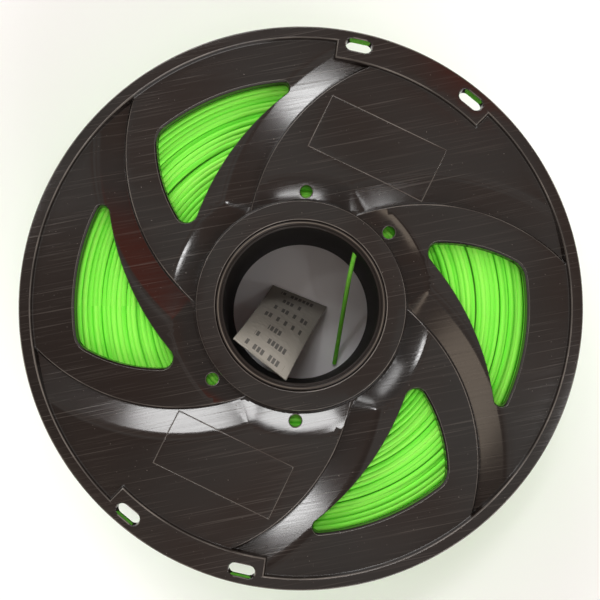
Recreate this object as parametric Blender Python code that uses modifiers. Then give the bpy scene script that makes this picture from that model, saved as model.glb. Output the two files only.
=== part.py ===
"""A full 200 mm filament spool: two swirl-bladed flanges, the tube that is wound on, a bore liner
whose round lips hold the flanges, the winding with its start tail, and a loose desiccant packet.

Metres, +Z along the spool's axis. The origin is on the axis, where the rear rim rests.
"""

import math

import bmesh
import bpy
from mathutils import Matrix, Vector

# Driving dimensions
SPOOL_WIDTH = 0.066
FLANGE_RADIUS = 0.100
FLANGE_THICKNESS = 0.006
BORE_RADIUS = 0.0276
BARREL_RADIUS = 0.038
WINDING_RADIUS = 0.084
FILAMENT_DIAMETER = 0.00175

GAP = 0.0003  # clearance between touching pieces
FIT = 0.0004  # radial clearance of one moulding in another

# Flange heights, above its winding side
WEB_LOW = 0.0019
WEB_HIGH = 0.0042
COLLAR_HEIGHT = 0.0052
SPIGOT_DEPTH = 0.004

# Flange radii
RIM_CHAMFER = 0.0004
RIM_INNER = 0.0965
RIM_FOOT = 0.0945
COLLAR_OUTER = 0.0374
COLLAR_FOOT = 0.0382
LINER_OUTER = 0.030
WALL = 0.002

# The swirl: six step edges, each an arc of this circle, turned about the axis
BLADES = 6
BLADE_PITCH = math.tau / BLADES
SWIRL_RADIUS = 0.070
SWIRL_CENTRE_DISTANCE = 0.0554
SWIRL_CENTRE_ANGLE = math.radians(-37.3)
RAMP_WIDTH = 0.012  # how far from its low edge each blade climbs, square to that edge
DISH_WIDTH = 0.010  # how far out from the collar the web climbs
STEP_SHARE = 0.02  # the part of each blade taken by the step down to the next one

# Windows: bounded by the outer circle, the trailing circle (both inside them) and the blade circle
WINDOW_OUTER = ((0.0, 0.0), 0.0804)
WINDOW_TRAILING = ((0.0502, -0.0323), 0.0544)
WINDOW_BLADE = ((-0.0287, -0.0472), 0.0984)
WINDOW_CORNERS = {"inner": 0.0036, "outer": 0.007, "tip": 0.0021}
WINDOW_TURNS = (0, 2, 3, 5)  # in blade pitches; the other two blades are the label panels

# Slot blocks on the rim, each with two slots where a filament end is threaded
BLOCK_MIDDLES = (math.radians(63.9), math.radians(243.9))
BLOCK_HALF_ANGLE = math.radians(18.6)
BLOCK_INNER = 0.0895
SLOT_RADIUS = 0.0953
SLOT_HALF_SPREAD = math.radians(13.5)
SLOT_LENGTH = 0.0095
SLOT_WIDTH = 0.0044

# Small anchor holes just outside the barrel
ANCHOR_HOLE_ANGLES = tuple(math.radians(a) for a in (39.7, 87.3, 219.7, 267.3))
ANCHOR_HOLE_CENTRE = 0.041
ANCHOR_HOLE_RADIUS = 0.0022

# The start tail: from the winding, through barrel and liner, then down the bore to the floor
START_TAIL_ROUTE = (
    (0.02235, 0.03040, 0.05440),
    (0.02175, 0.02790, 0.05445),
    (0.02115, 0.02540, 0.05430),
    (0.02055, 0.02285, 0.05390),
    (0.01995, 0.02030, 0.05305),
    (0.01940, 0.01770, 0.05145),
    (0.01885, 0.01505, 0.04905),
    (0.01835, 0.01230, 0.04590),
    (0.01790, 0.00940, 0.04200),
    (0.01750, 0.00635, 0.03750),
    (0.01710, 0.00315, 0.03260),
    (0.01670, -0.00015, 0.02750),
    (0.01630, -0.00355, 0.02240),
    (0.01590, -0.00705, 0.01740),
    (0.01545, -0.01070, 0.01250),
    (0.01495, -0.01455, 0.00790),
    (0.01440, -0.01860, 0.00380),
    (0.01400, -0.02130, 0.00125),
)
TAIL_HOLE_RADIUS = 0.0019

# The packet: a flat pouch that leans in the bore, its foot on the floor, its top at the lip
PACKET_WIDTH = 0.024
PACKET_THICKNESS = 0.0048
PACKET_SEAL_THICKNESS = 0.0006
PACKET_FOOT = Vector((-0.0004, 0.0062, 0.0012))
PACKET_TOP = Vector((-0.0147, -0.0192, 0.0628))
PACKET_FOOT_TURN = math.radians(-22.0)
PACKET_TOP_TURN = math.radians(-38.5)

ROUND_STEPS = 72

for old in list(bpy.data.objects):
    bpy.data.objects.remove(old, do_unlink=True)


def new_collection(name):
    collection = bpy.data.collections.new(name)
    bpy.context.scene.collection.children.link(collection)
    return collection


parts = new_collection("filament_spool")
helpers = new_collection("helpers")
raised = new_collection("rim_blocks")
cutters = new_collection("flange_cutters")


def material(name, colour, roughness):
    made = bpy.data.materials.new(name)
    made.use_nodes = True
    surface = made.node_tree.nodes["Principled BSDF"]
    surface.inputs["Base Color"].default_value = (*colour, 1.0)
    surface.inputs["Roughness"].default_value = roughness
    surface.inputs["Metallic"].default_value = 0.0
    return made


black_plastic = material("black_plastic", (0.016, 0.014, 0.014), 0.22)
green_filament = material("green_filament", (0.13, 0.80, 0.045), 0.38)
packet_paper = material("packet_paper", (0.72, 0.70, 0.64), 0.75)


def add_object(name, mesh, finish=None, collection=parts):
    obj = bpy.data.objects.new(name, mesh)
    collection.objects.link(obj)
    if finish:
        mesh.materials.append(finish)
    return obj


def as_helper(obj):
    obj.hide_render = True
    obj.display_type = "WIRE"
    return obj


def bmesh_object(name, bm, finish=None, collection=parts):
    bmesh.ops.recalc_face_normals(bm, faces=bm.faces)
    mesh = bpy.data.meshes.new(name)
    bm.to_mesh(mesh)
    bm.free()
    mesh.shade_smooth()
    mesh.set_sharp_from_angle(angle=math.radians(30))
    return add_object(name, mesh, finish, collection)


def turned(name, section, finish=None, collection=parts):
    """A ring of this closed (radius, height) section, which runs down its outer side first."""
    mesh = bpy.data.meshes.new(name)
    edges = [(i, (i + 1) % len(section)) for i in range(len(section))]
    mesh.from_pydata([(radius, 0.0, height) for radius, height in section], edges, [])
    obj = add_object(name, mesh, finish, collection)
    screw = obj.modifiers.new("turn", "SCREW")
    screw.steps = screw.render_steps = ROUND_STEPS
    screw.use_merge_vertices = True
    screw.merge_threshold = 0.0001
    screw.use_smooth_shade = True
    return obj


def boolean(obj, other, operation):
    modifier = obj.modifiers.new(operation.lower(), "BOOLEAN")
    modifier.operation = operation
    if isinstance(other, bpy.types.Collection):
        modifier.operand_type = "COLLECTION"
        modifier.collection = other
    else:
        modifier.object = other


def prism(name, outline, low, high, collection):
    """A flat (x, y) outline, extruded from one height to the other, used as a cutter or a block."""
    bm = bmesh.new()
    face = bm.faces.new([bm.verts.new((x, y, low)) for x, y in outline])
    sides = bmesh.ops.extrude_face_region(bm, geom=[face])["geom"]
    moved = [item for item in sides if isinstance(item, bmesh.types.BMVert)]
    bmesh.ops.translate(bm, vec=(0, 0, high - low), verts=moved)
    return as_helper(bmesh_object(name, bm, collection=collection))


def polar(radius, angle):
    return Vector((radius * math.cos(angle), radius * math.sin(angle)))


def arc(centre, radius, start, end, steps):
    """Points on a circle, the short way round from one angle to the other, both ends included."""
    turn = (end - start + math.pi) % math.tau - math.pi
    return [Vector(centre) + polar(radius, start + turn * i / steps) for i in range(steps + 1)]


# ---------------------------------------------------------------- the flange


def swirl_angle(radius, offset=0.0):
    """Where the first step edge, or a line this far outside it, crosses a circle about the axis."""
    reach = radius**2 + SWIRL_CENTRE_DISTANCE**2 - (SWIRL_RADIUS + offset) ** 2
    return SWIRL_CENTRE_ANGLE + math.acos(reach / (2 * radius * SWIRL_CENTRE_DISTANCE))


def web_height(place, blade, top):
    """Low along the blade's leading step and round the collar, and level away from both."""
    centre = polar(SWIRL_CENTRE_DISTANCE, SWIRL_CENTRE_ANGLE + blade * BLADE_PITCH)
    to_step = 1 - ((place - centre).length - SWIRL_RADIUS) / RAMP_WIDTH
    to_collar = 1 - (place.length - COLLAR_FOOT) / DISH_WIDTH
    if top:
        to_step = 0.0
    return WEB_HIGH - (WEB_HIGH - WEB_LOW) * max(0.0, min(1.0, to_step), min(1.0, to_collar))


def blade_angles(radius):
    """Where the columns stand across one blade at this radius: up the ramp, then along to the step."""
    climb = [swirl_angle(radius, RAMP_WIDTH * i / 4) for i in range(5)]
    step_top = swirl_angle(radius) + BLADE_PITCH * (1 - STEP_SHARE)
    return climb + [climb[-1] + (step_top - climb[-1]) * i / 6 for i in range(1, 7)]


def flange_section():
    """The section's rows, as (radius, height), with no height where the row lies on the web.

    It runs round the section from the liner's hole, along the winding side, over the rim and back.
    """
    hole = LINER_OUTER + FIT
    spigot_outer = BARREL_RADIUS - WALL - FIT
    spigot_inner = spigot_outer - WALL + FIT
    dish_rows = [COLLAR_FOOT + DISH_WIDTH * i / 3 for i in range(4)]
    web_rows = dish_rows + [dish_rows[-1] + (RIM_FOOT - dish_rows[-1]) * i / 5 for i in range(1, 6)]
    return (
        [
            (hole, 0.0),
            (spigot_inner, 0.0),
            (spigot_inner, -SPIGOT_DEPTH),
            (spigot_outer, -SPIGOT_DEPTH),
            (spigot_outer, 0.0),
            (FLANGE_RADIUS - RIM_CHAMFER, 0.0),
            (FLANGE_RADIUS, RIM_CHAMFER),
            (FLANGE_RADIUS, FLANGE_THICKNESS - RIM_CHAMFER),
            (FLANGE_RADIUS - RIM_CHAMFER, FLANGE_THICKNESS),
            (RIM_INNER, FLANGE_THICKNESS),
        ]
        + [(radius, None) for radius in reversed(web_rows)]
        + [
            (COLLAR_OUTER, COLLAR_HEIGHT),
            (hole + RIM_CHAMFER, COLLAR_HEIGHT),
            (hole, COLLAR_HEIGHT - RIM_CHAMFER),
        ]
    )


def flange_blank():
    """The flange before it is cut: a loft round the axis whose web rows follow the swirl."""
    bm = bmesh.new()
    rows = []
    for radius, height in flange_section():
        angles = blade_angles(min(max(radius, COLLAR_FOOT), RIM_FOOT))
        row = []
        for blade in range(BLADES):
            for column, angle in enumerate(angles):
                place = polar(radius, angle + blade * BLADE_PITCH)
                top = column == len(angles) - 1
                z = web_height(place, blade, top) if height is None else height
                row.append(bm.verts.new((*place, z)))
        rows.append(row)
    for row, following in zip(rows, rows[1:] + rows[:1]):
        for i in range(len(row)):
            after = (i + 1) % len(row)
            bm.faces.new((row[i], row[after], following[after], following[i]))
    return as_helper(bmesh_object("flange_blank", bm, collection=helpers))


def window_outline():
    """Three circular sides, joined by three fillets tangent to them."""
    sides = (WINDOW_OUTER, WINDOW_TRAILING, WINDOW_BLADE)
    inward = (-1, -1, 1)  # a fillet's centre is this way from each side's circle, along its radius
    corners = (("tip", 2, 0), ("outer", 0, 1), ("inner", 1, 2))
    points = []
    for name, first, second in corners:
        fillet = WINDOW_CORNERS[name]
        reach = [sides[i][1] + inward[i] * fillet for i in (first, second)]
        centres = [Vector(sides[i][0]) for i in (first, second)]
        middle = circle_crossing(centres, reach, near=window_corner_hint(name))
        facing = []
        for i, centre in zip((first, second), centres):
            away = (middle - centre) * -inward[i]
            facing.append(math.atan2(away.y, away.x))
        points.append(arc(middle, fillet, facing[0], facing[1], 6))
    outline = []
    for i, (_, _, side) in enumerate(corners):
        outline += points[i]
        centre, radius = sides[side]
        begin, end = (p - Vector(centre) for p in (points[i][-1], points[(i + 1) % 3][0]))
        stretch = arc(centre, radius, math.atan2(begin.y, begin.x), math.atan2(end.y, end.x), 7)
        outline += stretch[1:-1]
    return outline


def window_corner_hint(name):
    """Roughly where each window corner is, to pick one of the two points where circles cross."""
    return Vector({"inner": (0.048, 0.019), "outer": (0.078, 0.012), "tip": (0.070, -0.034)}[name])


def circle_crossing(centres, radii, near):
    between = centres[1] - centres[0]
    distance = between.length
    along = (distance**2 + radii[0] ** 2 - radii[1] ** 2) / (2 * distance)
    across = math.sqrt(radii[0] ** 2 - along**2)
    unit = between / distance
    foot = centres[0] + unit * along
    side = Vector((-unit.y, unit.x)) * across
    return min((foot + side, foot - side), key=lambda point: (point - near).length)


def turned_outline(outline, angle):
    return [Matrix.Rotation(angle, 2) @ point for point in outline]


def slot_outline():
    """A round-ended slot across +X, at the slots' radius."""
    half = (SLOT_LENGTH - SLOT_WIDTH) / 2
    radius = SLOT_WIDTH / 2
    upper = [Vector((SLOT_RADIUS, half)) + polar(radius, math.pi * i / 8) for i in range(9)]
    return upper + [Vector((2 * SLOT_RADIUS - p.x, -p.y)) for p in upper]


def add_flange_cutters():
    below, above = -0.002, FLANGE_THICKNESS + 0.002
    for turn in WINDOW_TURNS:
        outline = turned_outline(window_outline(), turn * BLADE_PITCH)
        prism(f"window_{turn}", outline, below, above, cutters)
    for middle in BLOCK_MIDDLES:
        for side in (-1, 1):
            outline = turned_outline(slot_outline(), middle + side * SLOT_HALF_SPREAD)
            prism("slot", outline, below, above, cutters)
    for angle in ANCHOR_HOLE_ANGLES:
        centre = polar(ANCHOR_HOLE_CENTRE, angle)
        hole = [centre + polar(ANCHOR_HOLE_RADIUS, math.tau * i / 16) for i in range(16)]
        prism("anchor_hole", hole, below, above, cutters)


def add_rim_blocks():
    """Each block fills the rim's inner corner, up to the rim's height, with radial ends."""
    under_rim = RIM_INNER + 0.001
    for middle in BLOCK_MIDDLES:
        ends = (middle - BLOCK_HALF_ANGLE, middle + BLOCK_HALF_ANGLE)
        outline = arc((0, 0), under_rim, *ends, 9) + arc((0, 0), BLOCK_INNER, *reversed(ends), 9)
        prism("rim_block", outline, WEB_LOW / 2, FLANGE_THICKNESS, raised)


def build_flanges():
    """Two copies of one moulding: the rear one is the front one turned over about X."""
    blank = flange_blank()
    add_rim_blocks()
    add_flange_cutters()
    boolean(blank, raised, "UNION")
    boolean(blank, cutters, "DIFFERENCE")
    bpy.context.view_layer.update()
    graph = bpy.context.evaluated_depsgraph_get()
    moulding = bpy.data.meshes.new_from_object(blank.evaluated_get(graph))
    moulding.name = "flange_moulding"
    moulding.set_sharp_from_angle(angle=math.radians(30))
    front = add_object("front_flange", moulding, black_plastic)
    front.location.z = SPOOL_WIDTH - FLANGE_THICKNESS
    rear = add_object("rear_flange", moulding)
    rear.location.z = FLANGE_THICKNESS
    rear.rotation_euler.x = math.pi


# ---------------------------------------------------------------- the hub


def tail_hole_cutter():
    """The oblique hole, through barrel and liner, that the start tail passes."""
    start, end = Vector(START_TAIL_ROUTE[0]), Vector(START_TAIL_ROUTE[4])
    direction = (end - start).normalized()
    start, end = start - direction * 0.008, end + direction * 0.006
    bm = bmesh.new()
    bmesh.ops.create_cone(
        bm,
        cap_ends=True,
        segments=16,
        radius1=TAIL_HOLE_RADIUS,
        radius2=TAIL_HOLE_RADIUS,
        depth=(end - start).length,
        matrix=Matrix.Translation((start + end) / 2) @ direction.to_track_quat("Z", "Y").to_matrix().to_4x4(),
    )
    return as_helper(bmesh_object("tail_hole", bm, collection=helpers))


def build_barrel(tail_hole):
    """The tube that is wound on, with six inner ribs that keep it on the liner."""
    low = FLANGE_THICKNESS + GAP
    high = SPOOL_WIDTH - low
    inner = BARREL_RADIUS - WALL
    section = [(BARREL_RADIUS, high), (BARREL_RADIUS, low), (inner, low), (inner, high)]
    barrel = turned("winding_barrel", section, black_plastic)
    rib_low = FLANGE_THICKNESS + SPIGOT_DEPTH + FIT
    rib_inner = LINER_OUTER + GAP
    ribs = bmesh.new()
    for i in range(6):
        rib = bmesh.ops.create_cube(ribs, size=1.0)["verts"]
        size = (inner + WALL / 2 - rib_inner, WALL, SPOOL_WIDTH - 2 * rib_low)
        bmesh.ops.scale(ribs, vec=size, verts=rib)
        middle = (rib_inner + size[0] / 2, 0, SPOOL_WIDTH / 2)
        bmesh.ops.translate(ribs, vec=middle, verts=rib)
        turn = Matrix.Rotation(math.radians(15) + i * math.tau / 6, 3, "Z")
        bmesh.ops.rotate(ribs, cent=(0, 0, 0), matrix=turn, verts=rib)
    boolean(barrel, as_helper(bmesh_object("barrel_ribs", ribs, collection=helpers)), "UNION")
    boolean(barrel, tail_hole, "DIFFERENCE")


def build_liner(tail_hole):
    """The tube that lines the bore, with a half-round lip at each end."""
    lip = (LINER_OUTER - BORE_RADIUS) / 2
    middle = BORE_RADIUS + lip
    crest = SPOOL_WIDTH - 0.0004
    top = [(middle + lip * math.cos(a), crest - lip + lip * math.sin(a)) for a in lip_angles()]
    bottom = [(radius, SPOOL_WIDTH - height) for radius, height in reversed(top)]
    section = list(reversed(top)) + list(reversed(bottom))
    liner = turned("bore_liner", section, black_plastic)
    boolean(liner, tail_hole, "DIFFERENCE")


def lip_angles():
    """Up from the bore's wall, over the crest, to the outer wall, as angles about the lip."""
    return [math.pi * (1 - i / 6) for i in range(7)]


# ---------------------------------------------------------------- filament and packet


def build_winding():
    """The whole winding's outer shape, between the flanges and round the barrel."""
    low = FLANGE_THICKNESS + GAP
    high = SPOOL_WIDTH - low
    inner = BARREL_RADIUS + GAP
    section = [(WINDING_RADIUS, high), (WINDING_RADIUS, low), (inner, low), (inner, high)]
    turned("filament_winding", section, green_filament)


def smooth_route(points, spacing):
    """Points along a Catmull-Rom curve through the route's own points."""
    route = [Vector(p) for p in points]
    route = [2 * route[0] - route[1], *route, 2 * route[-1] - route[-2]]
    smooth = []
    for before, start, end, after in zip(route, route[1:], route[2:], route[3:]):
        steps = max(1, round((end - start).length / spacing))
        for i in range(steps):
            t = i / steps
            smooth.append(
                0.5
                * (
                    2 * start
                    + (end - before) * t
                    + (2 * before - 5 * start + 4 * end - after) * t**2
                    + (3 * start - before - 3 * end + after) * t**3
                )
            )
    return [*smooth, route[-2]]


def build_start_tail():
    curve = bpy.data.curves.new("filament_start_tail", "CURVE")
    curve.dimensions = "3D"
    curve.bevel_depth = FILAMENT_DIAMETER / 2
    curve.bevel_resolution = 2
    curve.use_fill_caps = True
    points = smooth_route(START_TAIL_ROUTE, 2 * FILAMENT_DIAMETER)
    spline = curve.splines.new("POLY")
    spline.points.add(len(points) - 1)
    for point, place in zip(spline.points, points):
        point.co = (*place, 1.0)
    add_object("filament_start_tail", curve, green_filament)


def packet_thickness(along, across):
    """Half the pouch's thickness: flat at the sealed ends, fullest low down, where the beads lie."""
    fullness = math.sin(math.pi * min(1.0, max(0.0, (along - 0.06) / 0.88))) ** 0.6
    fullness *= (1 - across**4) * (1 - 0.45 * along)
    return (PACKET_SEAL_THICKNESS + (PACKET_THICKNESS - PACKET_SEAL_THICKNESS) * fullness) / 2


def build_packet():
    """A loft of cross-sections from the foot to the top, turning a little on the way."""
    bm = bmesh.new()
    rows = 12
    across_steps = 6
    sections = []
    for i in range(rows + 1):
        along = i / rows
        centre = PACKET_FOOT.lerp(PACKET_TOP, along)
        turn = PACKET_FOOT_TURN + (PACKET_TOP_TURN - PACKET_FOOT_TURN) * along
        width = Vector((math.cos(turn), math.sin(turn), 0))
        normal = width.cross((PACKET_TOP - PACKET_FOOT).normalized()).normalized()
        loop = []
        for side in (1, -1):
            for j in range(across_steps + 1):
                across = side * (2 * j / across_steps - 1)
                offset = normal * side * packet_thickness(along, across)
                loop.append(bm.verts.new(centre + width * across * PACKET_WIDTH / 2 + offset))
        sections.append(loop)
    for lower, upper in zip(sections, sections[1:]):
        for j in range(len(lower)):
            after = (j + 1) % len(lower)
            bm.faces.new((lower[j], lower[after], upper[after], upper[j]))
    bm.faces.new(reversed(sections[0]))
    bm.faces.new(sections[-1])
    bmesh_object("desiccant_packet", bm, packet_paper)


build_flanges()
tail_hole = tail_hole_cutter()
build_barrel(tail_hole)
build_liner(tail_hole)
build_winding()
build_start_tail()
build_packet()
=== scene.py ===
"""The looks of a full filament spool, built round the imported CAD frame.

The object's lengths are in millimetres, which its meshes turn into metres. The start tail's route,
the camera and the stage are in metres.
"""

import math

import bmesh
import bpy
import numpy as np
from mathutils import Matrix, Vector
from mathutils.geometry import delaunay_2d_cdt
from mathutils.kdtree import KDTree


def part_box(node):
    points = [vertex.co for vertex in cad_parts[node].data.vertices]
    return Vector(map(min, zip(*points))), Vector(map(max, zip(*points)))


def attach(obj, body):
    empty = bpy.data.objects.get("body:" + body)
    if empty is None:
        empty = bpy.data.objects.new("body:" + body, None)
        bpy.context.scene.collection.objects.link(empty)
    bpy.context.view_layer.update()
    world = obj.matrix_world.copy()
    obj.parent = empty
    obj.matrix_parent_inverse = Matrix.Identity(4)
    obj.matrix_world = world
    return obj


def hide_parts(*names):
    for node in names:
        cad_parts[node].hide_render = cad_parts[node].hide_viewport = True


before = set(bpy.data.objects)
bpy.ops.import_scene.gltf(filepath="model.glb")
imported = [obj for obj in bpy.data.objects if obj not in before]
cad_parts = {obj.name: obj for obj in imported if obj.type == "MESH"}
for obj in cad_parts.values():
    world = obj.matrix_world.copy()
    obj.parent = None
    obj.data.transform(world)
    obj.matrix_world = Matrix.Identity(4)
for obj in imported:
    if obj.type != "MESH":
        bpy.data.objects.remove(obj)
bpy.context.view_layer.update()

MM = 0.001

# The stage, in metres
LIGHT_DISTANCE = 6.0
FLOOR_REACH = 40.0
FLOOR_DROP = 0.0003


def box_mm(node):
    low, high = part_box(node)
    return [value / MM for value in low], [value / MM for value in high]


# Driving dimensions: the outer ones from the frame, the rest as in the CAD
SPOOL_WIDTH = box_mm("front_flange")[1][2]
FLANGE_RADIUS = box_mm("front_flange")[1][0]
WINDING_LOW = box_mm("filament_winding")[0][2]
WINDING_HIGH = box_mm("filament_winding")[1][2]
WINDING_MIDDLE = (WINDING_LOW + WINDING_HIGH) / 2
WINDING_RADIUS = 84.0
WINDING_INNER = 38.3
FLANGE_THICKNESS = 6.0
BORE_RADIUS = 27.6
LINER_OUTER = 30.0
LINER_END = 0.4
BARREL_INNER = 36.0
SPIGOT_WALL = 1.6
SPIGOT_DEPTH = 4.0
FILAMENT_DIAMETER = 1.75
FIT = 0.4

# Heights above the flange's winding side
WEB_LOW = 1.9
WEB_HIGH = 4.2
COLLAR_HEIGHT = 5.2

# The swirl
BLADES = 6
BLADE_PITCH = math.tau / BLADES
SWIRL_RADIUS = 70.0
SWIRL_CENTRE_DISTANCE = 55.4
SWIRL_CENTRE_ANGLE = math.radians(-37.3)
RAMP_WIDTH = 12.3
DISH_WIDTH = 9.0
RAMP_SOFTNESS = 0.14

# Edges: (middle, width of the slope, rounding of its two ends)
STEP_EDGE = (0.0, 0.5, 0.35)
COLLAR_EDGE = (37.6, 0.4, 0.35)
RIM_EDGE = (95.7, 0.7, 0.25)
BLOCK_EDGE = (0.5, 0.6, 0.25)
RIM_ROUNDING = 0.5
HOLE_ROUNDING = 0.5

# Windows, as in the CAD: circles (centre, radius)
WINDOW_OUTER = ((0.0, 0.0), 80.4)
WINDOW_TRAILING = ((50.2, -32.3), 54.4)
WINDOW_BLADE = ((-28.7, -47.2), 98.4)
WINDOW_CORNERS = {"tip": 2.1, "outer": 7.0, "inner": 3.6}
WINDOW_HINTS = {"tip": (70.0, -34.0), "outer": (78.0, 12.0), "inner": (48.0, 19.0)}
WINDOW_TURNS = (0, 2, 3, 5)
CHAMFER_WIDTH = 1.1
CHAMFER_BLADE_WIDTH = 0.45
CHAMFER_ROUNDING = 0.12
CHAMFER_SHARE = 0.72
CHAMFER_DEPTH = 0.8
WINDOW_FOOT = 0.3

BLOCK_MIDDLES = (math.radians(63.9), math.radians(243.9))
BLOCK_HALF_ANGLE = math.radians(18.6)
BLOCK_INNER = 89.0
SLOT_RADIUS = 95.3
SLOT_HALF_SPREAD = math.radians(13.5)
SLOT_LENGTH = 9.5
SLOT_WIDTH = 4.4
SLOT_ROUNDING = 0.45
ANCHOR_HOLE_ANGLES = tuple(math.radians(a) for a in (39.7, 87.3, 219.7, 267.3))
ANCHOR_HOLE_CENTRE = 41.0
ANCHOR_HOLE_RADIUS = 2.2
ANCHOR_HOLE_ROUNDING = 0.35

LABEL_CENTRE = 62.7
LABEL_ANGLES = (math.radians(64.1), math.radians(244.1))
LABEL_LENGTH = 45.3
LABEL_HEIGHT = 20.2
LABEL_LINE_HALF_WIDTH = 0.22
LABEL_LINE_DEPTH = 0.05

# What counts as an edge that gets scuffing and a painted highlight: an outward bend this sharp, for this far to
# every side
EDGE_BEND = 1.5
EDGE_REACH = 0.06

# From the winding, through the barrel and the liner, then down the bore to the floor, as in the CAD
START_TAIL_ROUTE = (
    (0.02235, 0.03040, 0.05440),
    (0.02175, 0.02790, 0.05445),
    (0.02115, 0.02540, 0.05430),
    (0.02055, 0.02285, 0.05390),
    (0.01995, 0.02030, 0.05305),
    (0.01940, 0.01770, 0.05145),
    (0.01885, 0.01505, 0.04905),
    (0.01835, 0.01230, 0.04590),
    (0.01790, 0.00940, 0.04200),
    (0.01750, 0.00635, 0.03750),
    (0.01710, 0.00315, 0.03260),
    (0.01670, -0.00015, 0.02750),
    (0.01630, -0.00355, 0.02240),
    (0.01590, -0.00705, 0.01740),
    (0.01545, -0.01070, 0.01250),
    (0.01495, -0.01455, 0.00790),
    (0.01440, -0.01860, 0.00380),
    (0.01400, -0.02130, 0.00125),
)

# ---------------------------------------------------------------- stage, camera and light


def build_camera():
    data = bpy.data.cameras.new("camera")
    data.sensor_width = 36.0
    data.lens = 65.5
    data.clip_start = 0.01
    camera = bpy.data.objects.new("camera", data)
    camera.location = (-0.0012, -0.0157, 0.452)
    camera.rotation_euler = (math.radians(2.6), math.radians(-0.13), 0.0)
    bpy.context.scene.collection.objects.link(camera)
    bpy.context.scene.camera = camera


def softbox(name, azimuth, tilt, spread, radiance, colour=(1.0, 1.0, 1.0)):
    """A light this many degrees from straight up, as wide and as tall as these degrees from the spool."""
    azimuth, tilt = math.radians(azimuth), math.radians(tilt)
    away = Vector((math.sin(tilt) * math.cos(azimuth), math.sin(tilt) * math.sin(azimuth), math.cos(tilt)))
    across = Vector((-math.sin(azimuth), math.cos(azimuth), 0))
    data = bpy.data.lights.new(name, "AREA")
    data.shape = "RECTANGLE"
    data.size, data.size_y = (2 * LIGHT_DISTANCE * math.tan(math.radians(angle) / 2) for angle in spread)
    data.energy = radiance * math.pi * data.size * data.size_y
    data.color = colour
    light = bpy.data.objects.new(name, data)
    light.location = away * LIGHT_DISTANCE
    light.rotation_euler = Matrix((across, away.cross(across), away)).transposed().to_euler()
    bpy.context.scene.collection.objects.link(light)


def build_stage():
    floor = bpy.data.meshes.new("floor")
    bm = bmesh.new()
    bmesh.ops.create_grid(bm, x_segments=1, y_segments=1, size=FLOOR_REACH)
    bmesh.ops.translate(bm, vec=(0, 0, -FLOOR_DROP), verts=bm.verts)
    bm.to_mesh(floor)
    bm.free()
    obj = bpy.data.objects.new("floor", floor)
    bpy.context.scene.collection.objects.link(obj)
    paper = bpy.data.materials.new("pale_floor")
    paper.use_nodes = True
    surface = paper.node_tree.nodes["Principled BSDF"]
    surface.inputs["Base Color"].default_value = (0.93, 0.925, 0.945, 1)
    surface.inputs["Roughness"].default_value = 0.9
    floor.materials.append(paper)


def build_light():
    world = bpy.data.worlds.new("soft_room")
    world.use_nodes = True
    nodes, links = world.node_tree.nodes, world.node_tree.links
    direction = nodes.new("ShaderNodeTexCoord").outputs["Generated"]
    height, shade, patches, overhead, tone = (
        nodes.new("ShaderNode" + kind) for kind in ("SeparateXYZ", "ValToRGB", "TexNoise", "MapRange", "MapRange")
    )
    links.new(direction, height.inputs[0])
    links.new(height.outputs[2], shade.inputs[0])
    for at, grey in ((0.35, 1.0), (0.75, 0.4), (0.93, 0.3), (0.985, 0.7)):
        stop = shade.color_ramp.elements.new(at)
        stop.color = (grey, 0.94 * grey, 0.88 * grey, 1)
    shade.color_ramp.elements.remove(shade.color_ramp.elements[0])
    shade.color_ramp.elements.remove(shade.color_ramp.elements[-1])
    # Dull brown patches overhead, a dark corner, and something red, for the gloss to mirror
    links.new(direction, patches.inputs["Vector"])
    patches.inputs["Scale"].default_value = 9.0
    links.new(patches.outputs[0], tone.inputs[0])
    tone.inputs["From Min"].default_value, tone.inputs["From Max"].default_value = 0.45, 0.62
    links.new(height.outputs[2], overhead.inputs[0])
    overhead.inputs["From Min"].default_value, overhead.inputs["From Max"].default_value = 0.6, 0.85
    overhead.inputs["To Max"].default_value = 0.75
    links.new(overhead.outputs[0], tone.inputs["To Max"])
    layers = [(tone, (0.42, 0.26, 0.2, 1))]
    for centre, outer, inner, tint in (
        ((-0.19, -0.03, 0.98), 0.16, 0.06, (0.27, 0.2, 0.17, 1)),
        ((0.182, 0.280, 0.943), 0.085, 0.05, (0.9, 0.13, 0.06, 1)),
    ):
        away, share = nodes.new("ShaderNodeVectorMath"), nodes.new("ShaderNodeMapRange")
        away.operation = "DISTANCE"
        links.new(direction, away.inputs[0])
        away.inputs[1].default_value = centre
        links.new(away.outputs["Value"], share.inputs[0])
        share.inputs["From Min"].default_value, share.inputs["From Max"].default_value = outer, inner
        layers.append((share, tint))
    colour = shade.outputs[0]
    for factor, other in layers:
        mix = nodes.new("ShaderNodeMix")
        mix.data_type = "RGBA"
        links.new(factor.outputs[0], mix.inputs[0])
        links.new(colour, mix.inputs[6])
        mix.inputs[7].default_value = other
        colour = mix.outputs[2]
    links.new(colour, nodes["Background"].inputs["Color"])
    bpy.context.scene.world = world
    bpy.context.scene.view_settings.view_transform = "Standard"
    softbox("right_window", -15, 17.4, (4.2, 2.2), 24.0)
    softbox("left_window", 152.5, 19.2, (3.6, 2.2), 24.0)
    softbox("far_window_low", 109.5, 21.4, (6.0, 3.4), 17.0)
    softbox("far_window_high", 88.5, 25.6, (15.0, 5.6), 16.0)
    softbox("far_window_end", 136, 24.1, (6.5, 1.5), 9.0)
    softbox("near_window", -89, 21.4, (9.0, 1.2), 18.0)
    softbox("near_window_end", -58.5, 18.9, (1.2, 1.0), 16.0)
    softbox("warm_wall", -143.5, 17.1, (9.7, 3.8), 2.6, (1.0, 0.82, 0.64))
    softbox("side_fill", -60, 62, (40, 30), 4.6)
    softbox("back_fill", 120, 62, (40, 30), 4.6)


# ---------------------------------------------------------------- helpers for outlines


def polar(radius, angle):
    return np.stack([radius * np.cos(angle), radius * np.sin(angle)], -1)


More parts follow.
